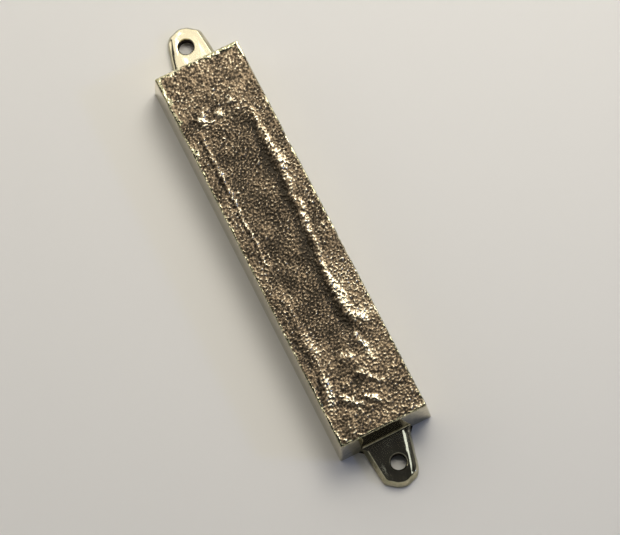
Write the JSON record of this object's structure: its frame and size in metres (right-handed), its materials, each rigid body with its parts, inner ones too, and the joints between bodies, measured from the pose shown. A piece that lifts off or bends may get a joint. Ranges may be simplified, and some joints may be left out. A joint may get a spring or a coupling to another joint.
{
  "type": "mezuzah case",
  "caption": "Cast bronze mezuzah case with a rough relief front, polished drafted walls, screw ears, a screwed back cover and a rolled parchment in a clear sleeve.",
  "frame": {"origin": "middle of the back of the case, on the plane that meets the doorpost", "axes": "+X across the case to the right seen from the front, +Y along it towards the upper ear, +Z out of the face"},
  "size_m": [0.0238, 0.1254, 0.0116],
  "materials": {
    "cast_bronze": "polished walls and ears, rough cast front with dark patina in its hollows",
    "cover_brass": "brushed",
    "screw_brass": "turned",
    "parchment": "matt parchment",
    "clear_film": "clear"
  },
  "bodies": {
    "shell": {"case": "cast_bronze"},
    "cover": {"back_cover": "cover_brass"},
    "cover_screws": {"cover_screw_upper": "screw_brass", "cover_screw_lower": "screw_brass"},
    "roll": {"scroll": "parchment", "scroll_sleeve": "clear_film"}
  },
  "joints": [
    {"name": "cover_lift_off", "type": "slide", "parent": "shell", "child": "cover", "axis": [0, 0, -1], "range_m": [0, 0.024]},
    {"name": "screws_out", "type": "slide", "parent": "shell", "child": "cover_screws", "axis": [0, 0, -1], "range_m": [0, 0.036]},
    {"name": "roll_out", "type": "slide", "parent": "shell", "child": "roll", "axis": [0, 0, -1], "range_m": [0, 0.012]}
  ],
  "couplings": [
    {"joint": "screws_out", "follows": "cover_lift_off", "ratio": 1.5},
    {"joint": "roll_out", "follows": "cover_lift_off", "ratio": 0.5}
  ]
}
